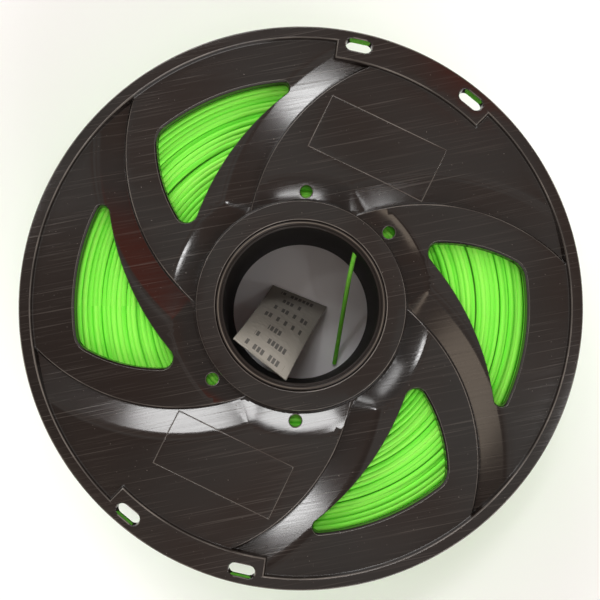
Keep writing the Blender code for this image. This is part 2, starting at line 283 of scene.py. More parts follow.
def circle(radius, spacing, centre=(0.0, 0.0)):
    count = max(12, round(math.tau * radius / spacing))
    return np.asarray(centre) + polar(radius, np.arange(count) * math.tau / count)


def arc(centre, radius, start, end, spacing):
    """Points on a circle, the short way round from one angle to the other, both ends included."""
    turn = (end - start + math.pi) % math.tau - math.pi
    steps = max(2, math.ceil(abs(turn) * radius / spacing))
    return np.asarray(centre) + polar(radius, start + turn * np.arange(steps + 1) / steps)


def rotated(points, angle):
    cos, sin = math.cos(angle), math.sin(angle)
    x, y = points[..., 0], points[..., 1]
    return np.stack([x * cos - y * sin, x * sin + y * cos], -1)


def circle_crossing(centres, radii, near):
    centres = [np.asarray(c) for c in centres]
    between = centres[1] - centres[0]
    distance = np.hypot(*between)
    along = (distance**2 + radii[0] ** 2 - radii[1] ** 2) / (2 * distance)
    across = math.sqrt(radii[0] ** 2 - along**2)
    unit = between / distance
    foot = centres[0] + unit * along
    side = np.array([-unit[1], unit[0]]) * across
    return min((foot + side, foot - side), key=lambda point: np.hypot(*(point - near)))


def window_outline(offset=0.0, blade_offset=0.0, spacing=0.8):
    """The window's three circular sides and three fillets, grown outwards by the offsets."""
    sides = (
        (WINDOW_OUTER[0], WINDOW_OUTER[1] + offset),
        (WINDOW_TRAILING[0], WINDOW_TRAILING[1] + offset),
        (WINDOW_BLADE[0], WINDOW_BLADE[1] - blade_offset),
    )
    inward = (-1, -1, 1)
    corners = (("tip", 2, 0), ("outer", 0, 1), ("inner", 1, 2))
    fillets = []
    for name, first, second in corners:
        fillet = WINDOW_CORNERS[name] + (offset + blade_offset) / 2
        reach = [sides[i][1] + inward[i] * fillet for i in (first, second)]
        centres = [sides[i][0] for i in (first, second)]
        middle = circle_crossing(centres, reach, WINDOW_HINTS[name])
        facing = []
        for i in (first, second):
            away = (middle - np.asarray(sides[i][0])) * -inward[i]
            facing.append(math.atan2(away[1], away[0]))
        fillets.append(arc(middle, fillet, *facing, min(spacing, fillet / 6)))
    outline = []
    for i, (_, _, side) in enumerate(corners):
        outline.append(fillets[i])
        centre, radius = sides[side]
        begin, end = fillets[i][-1] - centre, fillets[(i + 1) % 3][0] - centre
        stretch = arc(centre, radius, math.atan2(*begin[::-1]), math.atan2(*end[::-1]), spacing)
        outline.append(stretch[1:-1])
    return np.concatenate(outline)


def stadium(half_length, radius, spacing):
    """A round-ended outline about the origin, long in Y."""
    upper = np.array([0, half_length]) + polar(radius, np.linspace(0, math.pi, 17))
    steps = max(2, round(2 * half_length / spacing))
    down = np.linspace(half_length, -half_length, steps + 1)[1:-1]
    side = np.stack([np.full(steps - 1, -radius), down], -1)
    half = np.concatenate([upper, side])
    return np.concatenate([half, -half])


def segment_distance(points, loop, closed=True):
    """Distance from each point to a polyline."""
    ends = np.roll(loop, -1, axis=0) if closed else loop[1:]
    starts = loop if closed else loop[:-1]
    along = ends - starts
    length2 = (along**2).sum(-1)
    nearest = np.empty(len(points))
    for begin in range(0, len(points), 4000):
        chunk = points[begin : begin + 4000, None]
        t = np.clip(((chunk - starts) * along).sum(-1) / length2, 0, 1)
        gap = chunk - (starts + along * t[..., None])
        nearest[begin : begin + 4000] = np.sqrt((gap**2).sum(-1).min(-1))
    return nearest


def inside(points, loop):
    """Even-odd test of each point against a closed polyline."""
    found = np.zeros(len(points), bool)
    low, high = loop.min(0), loop.max(0)
    near = np.flatnonzero(((points >= low) & (points <= high)).all(-1))
    x, y = points[near, 0], points[near, 1]
    crossings = np.zeros(len(near), int)
    for (ax, ay), (bx, by) in zip(loop, np.roll(loop, -1, axis=0)):
        spans = (ay > y) != (by > y)
        if ay != by:
            crossings += spans & (x < (bx - ax) * (y - ay) / (by - ay) + ax)
    found[near] = crossings % 2 == 1
    return found


def soft_ramp(x, rounding):
    """0 below 0 and x above it, with the corner rounded off over this distance each side."""
    return np.where(x < -rounding, 0.0, np.where(x > rounding, x, (x + rounding) ** 2 / (4 * rounding)))


def slope(x, edge):
    """0 to 1 across an edge: a straight slope of a width, with its two ends rounded."""
    middle, width, rounding = edge
    x = x - middle
    return (soft_ramp(x + width / 2, rounding) - soft_ramp(x - width / 2, rounding)) / width


def slope_offsets(edge):
    """Where an edge needs a line of vertices."""
    middle, width, rounding = edge
    steps = rounding * np.array([-1.0, -0.5, 0.0, 0.5, 1.0])
    return [middle + side * width / 2 + step for side in (-1, 1) for step in steps]


# ---------------------------------------------------------------- flange


def swirl_angle(radius, offset=0.0):
    """Where the first step edge, or a line this far outside it, crosses a circle about the axis."""
    reach = radius**2 + SWIRL_CENTRE_DISTANCE**2 - (SWIRL_RADIUS + offset) ** 2
    return SWIRL_CENTRE_ANGLE + np.arccos(np.clip(reach / (2 * radius * SWIRL_CENTRE_DISTANCE), -1, 1))


def web_height(points):
    """Low along each step edge and round the collar, and level a ramp's width away from both."""
    radius = np.hypot(points[:, 0], points[:, 1])
    angle = np.arctan2(points[:, 1], points[:, 0])
    start = swirl_angle(np.clip(radius, COLLAR_EDGE[0] - 2, RIM_EDGE[0] + 2))
    nearest = np.round((angle - start) / BLADE_PITCH)
    centre = polar(SWIRL_CENTRE_DISTANCE, SWIRL_CENTRE_ANGLE + nearest * BLADE_PITCH)
    past_step = np.hypot(*(points - centre).T) - SWIRL_RADIUS
    to_step = 1 - np.clip(past_step, 0, None) / RAMP_WIDTH
    to_collar = 1 - (radius - COLLAR_EDGE[0]) / DISH_WIDTH
    by_step = soft_ramp(to_step - RAMP_SOFTNESS, RAMP_SOFTNESS) * slope(past_step, STEP_EDGE)
    by_step = by_step / (1 - RAMP_SOFTNESS)
    by_collar = np.clip(to_collar, 0, 1) ** 1.08
    fall = (by_step**6 + by_collar**6) ** (1 / 6)
    return WEB_HIGH - (WEB_HIGH - WEB_LOW) * np.minimum(fall, 1)


def block_depth(points):
    """How far each point is inside the nearer slot block's outline."""
    radius = np.hypot(points[:, 0], points[:, 1])
    angle = np.arctan2(points[:, 1], points[:, 0])
    off_middle = (angle - BLOCK_MIDDLES[0] + math.pi / 2) % math.pi - math.pi / 2
    side = (BLOCK_HALF_ANGLE - np.abs(off_middle)) * radius
    return np.minimum(radius - BLOCK_INNER, side)


def window_share(points):
    """How far down the edge of the nearer window: 0 on the web, 1 under the chamfer, 2 at the opening."""
    opening = window_outline()
    shoulder = window_outline(CHAMFER_WIDTH, CHAMFER_BLADE_WIDTH)
    share = np.zeros(len(points))
    for turn in WINDOW_TURNS:
        local = rotated(points, -turn * BLADE_PITCH)
        near = np.flatnonzero(inside(local, shoulder))
        to_shoulder = segment_distance(local[near], shoulder)
        to_opening = segment_distance(local[near], opening)
        straight = np.where(inside(local[near], opening), 1.0, to_shoulder / (to_shoulder + to_opening))
        chamfer = np.minimum(straight / CHAMFER_SHARE, 1)
        chamfer = soft_ramp(chamfer - CHAMFER_ROUNDING, CHAMFER_ROUNDING) / (1 - CHAMFER_ROUNDING)
        share[near] = chamfer + np.clip((straight - CHAMFER_SHARE) / (1 - CHAMFER_SHARE), 0, 1)
    return share


def rounding_drop(depth, rounding):
    """How far a quarter-round edge falls, this far inside the edge's line."""
    short = np.clip(rounding - depth, 0, rounding)
    return rounding - np.sqrt(rounding**2 - short**2 + 1e-12)


def slot_outline(offset=0.0):
    half_length = (SLOT_LENGTH - SLOT_WIDTH) / 2
    outline = stadium(half_length, SLOT_WIDTH / 2 + offset, 0.6)
    return outline + np.array([SLOT_RADIUS, 0])


def slot_turns():
    return [middle + side * SLOT_HALF_SPREAD for middle in BLOCK_MIDDLES for side in (-1, 1)]


def label_outline(offset=0.0):
    """The moulded label frame about the +X axis, its long side across it."""
    x, y = LABEL_HEIGHT / 2 + offset, LABEL_LENGTH / 2 + offset
    corners = np.array([(x, -y), (x, y), (-x, y), (-x, -y)])
    points = []
    for start, end in zip(corners, np.roll(corners, -1, axis=0)):
        steps = round(np.hypot(*(end - start)) / 1.5)
        points.append(start + (end - start) * np.arange(steps)[:, None] / steps)
    return np.concatenate(points) + np.array([LABEL_CENTRE, 0])


def front_height(points):
    radius = np.hypot(points[:, 0], points[:, 1])
    height = web_height(points)
    edge = window_share(points)
    height = height - CHAMFER_DEPTH * np.minimum(edge, 1)
    height = height - (height - WINDOW_FOOT) * np.clip(edge - 1, 0, 1)
    for angle in LABEL_ANGLES:
        line = segment_distance(rotated(points, -angle), label_outline()) / LABEL_LINE_HALF_WIDTH
        height = height - LABEL_LINE_DEPTH * (1 + np.cos(math.pi * np.clip(line, 0, 1))) / 2
    for angle in ANCHOR_HOLE_ANGLES:
        away = np.hypot(*(points - polar(ANCHOR_HOLE_CENTRE, angle)).T) - ANCHOR_HOLE_RADIUS
        height = height - rounding_drop(away, ANCHOR_HOLE_ROUNDING)
    height = height + (COLLAR_HEIGHT - height) * slope(-radius, (-COLLAR_EDGE[0], *COLLAR_EDGE[1:]))
    raised = np.maximum(slope(radius, RIM_EDGE), slope(block_depth(points), BLOCK_EDGE))
    height = height + (FLANGE_THICKNESS - height) * raised
    for turn in slot_turns():
        local = rotated(points, -turn)
        near = np.flatnonzero(np.hypot(*(local - [SLOT_RADIUS, 0]).T) < SLOT_LENGTH)
        away = segment_distance(local[near], slot_outline())
        height[near] -= rounding_drop(away, SLOT_ROUNDING)
    height = height - rounding_drop(radius - LINER_OUTER - FIT, HOLE_ROUNDING)
    return height - rounding_drop(FLANGE_RADIUS - radius, RIM_ROUNDING)


def flange_holes():
    """Closed outlines that go right through, the bore first."""
    holes = [circle(LINER_OUTER + FIT, 0.9)]
    holes += [rotated(window_outline(), turn * BLADE_PITCH) for turn in WINDOW_TURNS]
    holes += [rotated(slot_outline(), turn) for turn in slot_turns()]
    holes += [circle(ANCHOR_HOLE_RADIUS, 0.5, polar(ANCHOR_HOLE_CENTRE, a)) for a in ANCHOR_HOLE_ANGLES]
    return holes


def front_lines():
    """Every line of the front face that needs vertices along it, as (points, closed)."""
    lines = [(circle(FLANGE_RADIUS, 1.2), True)]
    lines += [(hole, True) for hole in flange_holes()]
    rim_steps = RIM_ROUNDING * np.array([0.04, 0.15, 0.33, 0.6, 1.0])
    lines += [(circle(FLANGE_RADIUS - step, 1.2), True) for step in rim_steps]
    lines += [(circle(radius, 1.2), True) for radius in slope_offsets(RIM_EDGE)]
    lines += [(circle(radius, 0.9), True) for radius in slope_offsets(COLLAR_EDGE)]
    hole_steps = HOLE_ROUNDING * np.array([0.06, 0.3, 0.6, 1.0])
    lines += [(circle(LINER_OUTER + FIT + step, 0.9), True) for step in hole_steps]
    lines.append((circle((LINER_OUTER + COLLAR_EDGE[0] + FIT) / 2, 1.5), True))
    radii = np.arange(COLLAR_EDGE[0] - 1.2, RIM_EDGE[0] + 1.6, 0.9)
    ramp_lines = RAMP_WIDTH * np.linspace(0.1, 1.08, 11)
    for offset in [*slope_offsets(STEP_EDGE), *ramp_lines]:
        for blade in range(BLADES):
            lines.append((polar(radii, swirl_angle(radii, offset) + blade * BLADE_PITCH), False))
    foot = 1 - CHAMFER_SHARE
    for share in (foot - 0.05, foot + 0.05, 0.6, 0.84, 0.88, 0.92, 0.96, 1.0, 1.2):
        outline = window_outline(share * CHAMFER_WIDTH, share * CHAMFER_BLADE_WIDTH)
        lines += [(rotated(outline, turn * BLADE_PITCH), True) for turn in WINDOW_TURNS]
    for step in SLOT_ROUNDING * np.array([0.06, 0.3, 0.6, 1.0]):
        lines += [(rotated(slot_outline(step), turn), True) for turn in slot_turns()]
    for step in ANCHOR_HOLE_ROUNDING * np.array([0.06, 0.3, 0.6, 1.0]):
        for angle in ANCHOR_HOLE_ANGLES:
            lines.append((circle(ANCHOR_HOLE_RADIUS + step, 0.5, polar(ANCHOR_HOLE_CENTRE, angle)), True))
    for offset in LABEL_LINE_HALF_WIDTH * np.array([-1, -0.5, 0, 0.5, 1]):
        lines += [(rotated(label_outline(offset), angle), True) for angle in LABEL_ANGLES]
    for offset in slope_offsets(BLOCK_EDGE):
        for middle in BLOCK_MIDDLES:
            inner = BLOCK_INNER + offset
            half = BLOCK_HALF_ANGLE - offset / inner
            across = arc((0, 0), inner, middle - half, middle + half, 1.2)
            outward = np.arange(inner, RIM_EDGE[0] + 1.2, 1.0)[1:]
            start = polar(outward[::-1], middle - BLOCK_HALF_ANGLE + offset / outward[::-1])
            end = polar(outward, middle + BLOCK_HALF_ANGLE - offset / outward)
            lines.append((np.concatenate([start, across, end]), False))
    return lines


def front_fill(lines, spacing=1.5, clearance=0.7):
    """Points over the web, in rows that follow the swirl, away from every line."""
    rows = []
    for radius in np.arange(COLLAR_EDGE[0] + 1.0, RIM_EDGE[0] - 1.2, spacing):
        count = round(radius * BLADE_PITCH / spacing)
        for blade in range(BLADES):
            shares = (np.arange(count) + 0.5) / count
            rows.append(polar(radius, swirl_angle(radius) + (blade + shares) * BLADE_PITCH))
    points = np.concatenate(rows)
    cells = set()
    for line, _ in lines:
        for x, y in np.round(line / clearance).astype(int):
            cells.update((x + i, y + j) for i in (-1, 0, 1) for j in (-1, 0, 1))
    keep = [tuple(cell) not in cells for cell in np.round(points / clearance).astype(int)]
    return points[keep]


def as_graph(lines):
    """The lines' points in one array, and the edges between them."""
    edges, first = [], 0
    for line, closed in lines:
        last = first + len(line)
        edges += [(i, i + 1 if i + 1 < last else first) for i in range(first, last if closed else last - 1)]
        first = last
    return np.concatenate([line for line, _ in lines]), edges


def triangulate(points, edges):
    """A constrained triangulation of the disc, with what is inside the holes left out."""
    found = delaunay_2d_cdt([Vector(point) for point in points], edges, [], 0, 1e-5)
    points = np.array([tuple(v) for v in found[0]])
    triangles = np.array([tuple(f) for f in found[2]])
    a, b, c = (points[triangles[:, i]] for i in range(3))
    area = (b[:, 0] - a[:, 0]) * (c[:, 1] - a[:, 1]) - (b[:, 1] - a[:, 1]) * (c[:, 0] - a[:, 0])
    triangles = np.where((area < 0)[:, None], triangles[:, ::-1], triangles)
    middles = points[triangles].mean(1)
    keep = np.hypot(*middles.T) < FLANGE_RADIUS
    for hole in flange_holes():
        keep &= ~inside(middles, hole)
    used, triangles = np.unique(triangles[keep], return_inverse=True)
    return points[used], triangles.reshape(-1, 3)


def boundary_edges(triangles):
    """Directed edges that only one triangle has."""
    ends = np.concatenate([triangles[:, [0, 1]], triangles[:, [1, 2]], triangles[:, [2, 0]]])
    lookup = set(map(tuple, ends))
    return [(a, b) for a, b in lookup if (b, a) not in lookup]


def outward_bend(points, height_of, step=0.01):
    ways = step * np.array([(1, 0), (-1, 0), (0, 1), (0, -1)])
    return (4 * height_of(points) - sum(height_of(points + way) for way in ways)) / step**2


def surface_normals(points, height_of, step=0.01):
    ways = step * np.eye(2)
    slope_x, slope_y = ((height_of(points + way) - height_of(points - way)) / (2 * step) for way in ways)
    normals = np.stack([-slope_x, -slope_y, np.ones(len(points))], -1)
    return normals / np.linalg.norm(normals, axis=1, keepdims=True)


def edge_scuff_and_painted_highlight(points, height_of):
    """1 on the sharp outward bends and on the label's lines, and 0 a little to either side of them: where the
    plastic gets scuffing and a painted highlight.
    """
    scuff_and_painted_highlight = np.zeros(len(points))
    bent = np.flatnonzero(outward_bend(points, height_of) > EDGE_BEND)
    for way in EDGE_REACH * np.array([(1, 0), (-1, 0), (0, 1), (0, -1)]):
        bent = bent[outward_bend(points[bent] + way, height_of) > EDGE_BEND]
    scuff_and_painted_highlight[bent] = 1
    for angle in LABEL_ANGLES:
        line = segment_distance(rotated(points, -angle), label_outline()) / LABEL_LINE_HALF_WIDTH
        scuff_and_painted_highlight[line < 1] = 0
        scuff_and_painted_highlight = np.maximum(scuff_and_painted_highlight, 1 - np.clip(line, 0, 1))
    return scuff_and_painted_highlight


def back_height(points):
    """The winding side: flat, with a rounded outer edge and the spigot that fits in the barrel."""
    radius = np.hypot(points[:, 0], points[:, 1])
    outer = BARREL_INNER - FIT
    spigot = (radius > outer - SPIGOT_WALL - 0.02) & (radius < outer + 0.02)
    return np.where(spigot, -SPIGOT_DEPTH, 0.0) + rounding_drop(FLANGE_RADIUS - radius, RIM_ROUNDING / 2)


def back_lines():
    outer = BARREL_INNER - FIT
    rings = [FLANGE_RADIUS - step for step in RIM_ROUNDING / 2 * np.array([0.1, 0.4, 1.0])]
    rings += [outer - SPIGOT_WALL - 0.05, outer - SPIGOT_WALL, outer, outer + 0.05]
    return [(circle(radius, 1.5), True) for radius in rings]


def flange_mesh():
    lines = front_lines()
    points, edges = as_graph(lines)
    top, top_faces = triangulate(np.concatenate([points, front_fill(lines)]), edges)
    rim = boundary_edges(top_faces)
    rim_points = sorted({i for edge in rim for i in edge})
    place = {i: n for n, i in enumerate(rim_points)}
    points, edges = as_graph(back_lines())
    shift = len(rim_points)
    points = np.concatenate([top[rim_points], points])
    edges = [(place[a], place[b]) for a, b in rim] + [(a + shift, b + shift) for a, b in edges]
    bottom, bottom_faces = triangulate(points, edges)
    below = KDTree(len(bottom))
    for i, point in enumerate(bottom):
        below.insert((*point, 0), i)
    below.balance()
    under = {i: len(top) + below.find((*top[i], 0))[1] for i in rim_points}
    walls = [(b, a, under[a], under[b]) for a, b in rim]
    front = np.column_stack([top, front_height(top)])
    back = np.column_stack([bottom, back_height(bottom)])
    verts = np.concatenate([front, back])
    faces = top_faces.tolist() + (bottom_faces[:, ::-1] + len(top)).tolist() + walls
    mesh = bpy.data.meshes.new("flange_moulding")
    mesh.from_pydata((verts * MM).tolist(), [], faces)
    mesh.shade_smooth()
    mesh.set_sharp_from_angle(angle=math.radians(40))
    custom = np.zeros((len(mesh.loops), 3))
    custom[: 3 * len(top_faces)] = surface_normals(top, front_height)[top_faces.ravel()]
    mesh.normals_split_custom_set(custom.tolist())
    # The plastic's colour is lighter along these lines: scuffing, and a painted highlight.
    scuff_and_painted_highlight = mesh.attributes.new("edge_scuff_and_painted_highlight", "FLOAT", "POINT")
    scuff_and_painted_highlight.data.foreach_set("value", np.concatenate([edge_scuff_and_painted_highlight(top, front_height), np.zeros(len(bottom))]))
    return mesh


# ---------------------------------------------------------------- liner


def turned_mesh(name, profile, segments):
    """A closed ring from its cross-section, points (radius, height) anticlockwise."""
    angle = np.arange(segments)[:, None] * math.tau / segments
    radius, height = profile.T
    verts = np.dstack([polar(radius, angle), np.tile(height, (segments, 1))])
    return grid_mesh(name, verts, True, True)


def grid_mesh(name, verts, closed_rows, closed_columns, caps=False):
    """A mesh from a grid of points, rows by columns, its outside to the left of each row's way."""
    rows, columns = verts.shape[:2]
    index = np.arange(rows * columns).reshape(rows, columns)
    ahead = np.roll(index, -1, axis=0)
    beside = np.roll(index, -1, axis=1)
    across = np.roll(ahead, -1, axis=1)
    faces = np.stack([index, ahead, across, beside], -1)
    faces = faces[: rows if closed_rows else rows - 1, : columns if closed_columns else columns - 1]
    faces = faces.reshape(-1, 4).tolist()
    if caps:
        faces += [index[0].tolist(), index[-1][::-1].tolist()]
    mesh = bpy.data.meshes.new(name)
    mesh.from_pydata((verts.reshape(-1, 3) * MM).tolist(), [], faces)
    mesh.shade_smooth()
    return mesh


def quarter(centre, radius, start, steps=6):
    """A quarter turn anticlockwise, as part of a cross-section."""
    angle = math.radians(start) + np.arange(steps + 1) * math.pi / 2 / steps
    return np.asarray(centre) + polar(radius, angle)


def liner_mesh():
    """A sleeve whose ends have a soft shoulder and a round bead that laps the flange's hole."""
    low, high = LINER_END, SPOOL_WIDTH - LINER_END
    shoulder, below, bead, lap = 0.5, 0.35, 0.8, 0.2
    inner, outer = BORE_RADIUS + shoulder, LINER_OUTER + lap - bead
    profile = np.concatenate(
        [
            quarter((inner, low + below + shoulder), shoulder, 180),
            quarter((outer, low + bead), bead, 180),
            quarter((outer, low + bead), bead, 270)[1:],
            [(LINER_OUTER + lap, low + 1.6), (LINER_OUTER, low + 1.8)],
            [(LINER_OUTER, high - 1.8), (LINER_OUTER + lap, high - 1.6)],
            quarter((outer, high - bead), bead, 0),
            quarter((outer, high - bead), bead, 90)[1:],
            quarter((inner, high - below - shoulder), shoulder, 90),
        ]
    )
    return turned_mesh("bore_sleeve", profile, 200)


# ---------------------------------------------------------------- filament

STRAND_RADIUS = FILAMENT_DIAMETER / 2
STRAND_SIDES = 12
STRAND_STEPS = 180
WINDING_SEED = 7
OUTER_WRAPS = 29
CORE_SIDE_INSET = 3.8
CORE_OUTER_INSET = 2.6


def wander(angle, rng, size):
    """A smooth drift that joins up with itself after one turn."""
    drift = np.zeros(len(angle))
    for cycles in (1, 2, 3, 5):
        drift += rng.normal() / cycles**0.7 * np.cos(cycles * angle + rng.uniform(0, math.tau))
    return size * drift


def gap_depth(angle, rng):
    """How far a turn falls back along a stretch where it doesn't reach the flange."""
    off = np.abs((angle - rng.uniform(0, math.tau) + math.pi) % math.tau - math.pi)
    half_length = rng.uniform(0.4, 1.4)
    share = np.clip((half_length - off) / 0.5, 0, 1)
    return rng.uniform(0.5, 1.5) * share**2 * (3 - 2 * share)


def strand(angle, radius, height, spread=1.0):
    """A grid of points round a strand that goes about the axis, pressed wider than it is high."""
    around = np.arange(STRAND_SIDES) * math.tau / STRAND_SIDES
    reach = radius[:, None] + spread * STRAND_RADIUS * np.cos(around)
    rise = height[:, None] + STRAND_RADIUS * np.sin(around)
    return np.stack([reach * np.cos(angle)[:, None], reach * np.sin(angle)[:, None], rise], -1)


def winding_side_mesh():
    """The turns that show at one flange, one for each layer, about the winding's middle plane."""
    rng = np.random.default_rng(WINDING_SEED)
    angle = np.arange(STRAND_STEPS) * math.tau / STRAND_STEPS
    outermost = WINDING_RADIUS - 1.5 * FILAMENT_DIAMETER
    layers = int((outermost - WINDING_INNER - STRAND_RADIUS) / FILAMENT_DIAMETER)
    top = WINDING_HIGH - WINDING_MIDDLE - STRAND_RADIUS
    bm = bmesh.new()
    for layer in range(layers + 1):
        radius = outermost - layer * FILAMENT_DIAMETER + wander(angle, rng, 0.13) + rng.uniform(-0.28, 0.28)
        fall = 0.1 + np.abs(wander(angle, rng, 0.2))
        if rng.random() < 0.75:
            fall = fall + gap_depth(angle, rng)
        piece = grid_mesh("layer", strand(angle, radius, top - fall, 1.15), True, True)
        bm.from_mesh(piece)
        bpy.data.meshes.remove(piece)
    mesh = bpy.data.meshes.new("winding_side")
    bm.to_mesh(mesh)
    bm.free()
    mesh.shade_smooth()
    return mesh


def outer_layer_mesh():
    """The last layer, wrap beside wrap, its two ends turned in under it."""
    rng = np.random.default_rng(WINDING_SEED + 1)
    steps = OUTER_WRAPS * STRAND_STEPS
    angle = np.arange(steps + 1) * math.tau / STRAND_STEPS
    turns = angle / math.tau
    half = WINDING_HIGH - WINDING_MIDDLE - STRAND_RADIUS
    height = half * (2 * turns / OUTER_WRAPS - 1)
    height = height + wander(angle, rng, 0.05)
    height = height + wander(angle / 7, rng, 0.06) * np.sin(math.pi * turns / OUTER_WRAPS)
    height = np.clip(height, -half, half)
    radius = np.full_like(angle, WINDING_RADIUS - STRAND_RADIUS) - np.abs(wander(angle / 3, rng, 0.08))
    tuck = np.clip(1 - np.minimum(turns, OUTER_WRAPS - turns) / 0.06, 0, 1)
    radius = radius - FILAMENT_DIAMETER * tuck**2 * (3 - 2 * tuck)
    return grid_mesh("outer_layer", strand(angle, radius, height), False, True, caps=True)


def winding_core_mesh():
    """The layers inside, as one ring just under the strands that show."""
    half = WINDING_HIGH - WINDING_MIDDLE - CORE_SIDE_INSET
    outer = WINDING_RADIUS - CORE_OUTER_INSET
    corner = 0.6
    profile = [
        (WINDING_INNER, -half),
        (outer - corner, -half),
        (outer, -half + corner),
        (outer, half - corner),
        (outer - corner, half),
        (WINDING_INNER, half),
    ]
    return turned_mesh("winding_core", np.array(profile), 120)


def smooth_route(points, steps):
    """Points along a Catmull-Rom curve through the route's own points."""
    route = [Vector(p) for p in points]
    route = [2 * route[0] - route[1], *route, 2 * route[-1] - route[-2]]
    smooth = []
    for before, start, end, after in zip(route, route[1:], route[2:], route[3:]):
        for i in range(steps):
            t = i / steps
            line = 2 * start + (end - before) * t
            bend = (2 * before - 5 * start + 4 * end - after) * t**2
            smooth.append((line + bend + (3 * start - before - 3 * end + after) * t**3) / 2)
    return [*smooth, route[-2]]


def build_start_tail(finish):
    points = smooth_route(START_TAIL_ROUTE, 4)
    curve = bpy.data.curves.new("start_tail_strand", "CURVE")
    curve.dimensions = "3D"
    curve.bevel_depth = STRAND_RADIUS * MM
    curve.bevel_resolution = 4
    curve.use_fill_caps = True
    spline = curve.splines.new("POLY")
    spline.points.add(len(points) - 1)
    for point, place in zip(spline.points, points):
        point.co = (*place, 1.0)
    spline.use_smooth = True
    tail = add_piece("start_tail_strand", curve, "spool", finish, "green_filament", "filament_start_tail")


# ---------------------------------------------------------------- packet

PACKET_WIDTH = 24.0
PACKET_THICKNESS = 4.8
PACKET_SEAL_THICKNESS = 0.6
PACKET_FOOT = Vector((-0.4, 6.2, 1.2))
PACKET_TOP = Vector((-14.7, -19.2, 62.8))
PACKET_FOOT_TURN = math.radians(-22.0)
PACKET_TOP_TURN = math.radians(-38.5)
PACKET_SEAL_SHARE = 0.075
PACKET_SEED = 11
BEAD_COUNT = 260
BEAD_RADIUS = 1.25
BEAD_REACH = 11.0
BEAD_BULGE = 0.14
PAPER_SLACK = 0.86
CRIMP_DEPTH = 0.16
CRIMP_SPACING = 1.1
PLEAT_DEPTH = 0.07
PLEAT_LENGTH = 5.0
SERRATION_DEPTH = 0.45


def packet_height(along, across, beads):
    """Half the pouch's thickness: crimped flat at its ends, full of beads between them."""
    inner = np.clip((along - PACKET_SEAL_SHARE) / (1 - 2 * PACKET_SEAL_SHARE), 0, 1)
    fullness = np.sin(math.pi * inner) ** 0.6 * (1 - across**4) * (1 - 0.45 * along)
    half = (PACKET_SEAL_THICKNESS + (PAPER_SLACK * PACKET_THICKNESS - PACKET_SEAL_THICKNESS) * fullness) / 2
    length = (PACKET_TOP - PACKET_FOOT).length
    place = np.stack([along * length, across * PACKET_WIDTH / 2], -1)
    gap = np.linalg.norm(place[:, None] - beads, axis=-1) / BEAD_RADIUS
    bumps = np.clip(1 - gap**2, 0, 1).max(axis=1)
    return half + BEAD_BULGE * bumps * np.clip(fullness * 2.5, 0, 1)


def packet_mesh():
    """A loft of cross-sections from the foot to the top, turning a little on the way."""
    rng = np.random.default_rng(PACKET_SEED)
    length = (PACKET_TOP - PACKET_FOOT).length
    rows, columns = 150, 56
    along = np.linspace(0, 1, rows)
    across = np.concatenate([np.linspace(-1, 1, columns), np.linspace(1, -1, columns)])
    side = np.concatenate([np.ones(columns), -np.ones(columns)])
    half = np.empty((rows, 2 * columns))
    for face in (1, -1):
        up = rng.uniform(0, length, BEAD_COUNT)
        beads = np.stack([up, rng.uniform(-BEAD_REACH, BEAD_REACH, BEAD_COUNT)], -1)
        columns_of_face = np.flatnonzero(side == face)
        grid = np.stack(np.meshgrid(along, across[columns_of_face], indexing="ij"), -1).reshape(-1, 2)
        half[:, columns_of_face] = packet_height(grid[:, 0], grid[:, 1], beads).reshape(rows, columns)
    past_seal = np.minimum(along, 1 - along) - PACKET_SEAL_SHARE
    in_seal = np.clip(-past_seal / 0.01, 0, 1)
    crimp = CRIMP_DEPTH * np.sin(along * length * math.tau / CRIMP_SPACING) * in_seal
    pleat_fade = np.exp(-np.clip(past_seal, 0, 1) * length / PLEAT_LENGTH) * (past_seal > 0)
    pleat_waves = np.cos(across * 9 + 1.3) + 0.6 * np.cos(across * 17 + 0.4)
    pleats = PLEAT_DEPTH * np.outer(pleat_fade, pleat_waves) * (1 - across**2)
    normal_shift = crimp[:, None] + pleats
    turn = PACKET_FOOT_TURN + (PACKET_TOP_TURN - PACKET_FOOT_TURN) * along
    width = np.stack([np.cos(turn), np.sin(turn), np.zeros(rows)], -1)
    direction = np.array((PACKET_TOP - PACKET_FOOT).normalized())
    normal = np.cross(width, direction)
    normal /= np.linalg.norm(normal, axis=1, keepdims=True)
    centre = np.array(PACKET_FOOT) + along[:, None] * np.array(PACKET_TOP - PACKET_FOOT)
    pull_in = 1 - 0.035 * np.sin(math.pi * along) ** 0.7
    verts = (
        centre[:, None]
        + width[:, None] * (across * PACKET_WIDTH / 2)[None, :, None] * pull_in[:, None, None]
        + normal[:, None] * (side * half + normal_shift)[:, :, None]
    )
    serration = SERRATION_DEPTH * (np.abs((across * 12) % 1 - 0.5) * 2 - 0.5)
    verts[0] -= direction * serration[:, None]
    verts[-1] += direction * serration[:, None]
    mesh = grid_mesh("packet_pouch", verts, False, True, caps=True)
    uv = mesh.uv_layers.new(name="printed_side")
    loops = np.empty(len(mesh.loops), int)
    mesh.loops.foreach_get("vertex_index", loops)
    row, column = loops // (2 * columns), loops % (2 * columns)
    uv.data.foreach_set("uv", np.stack([(across[column] + 1) / 2, along[row]], -1).ravel())
    return mesh


# ---------------------------------------------------------------- materials

PRINT_ROWS = 7.0
PRINT_CELLS = 14.0


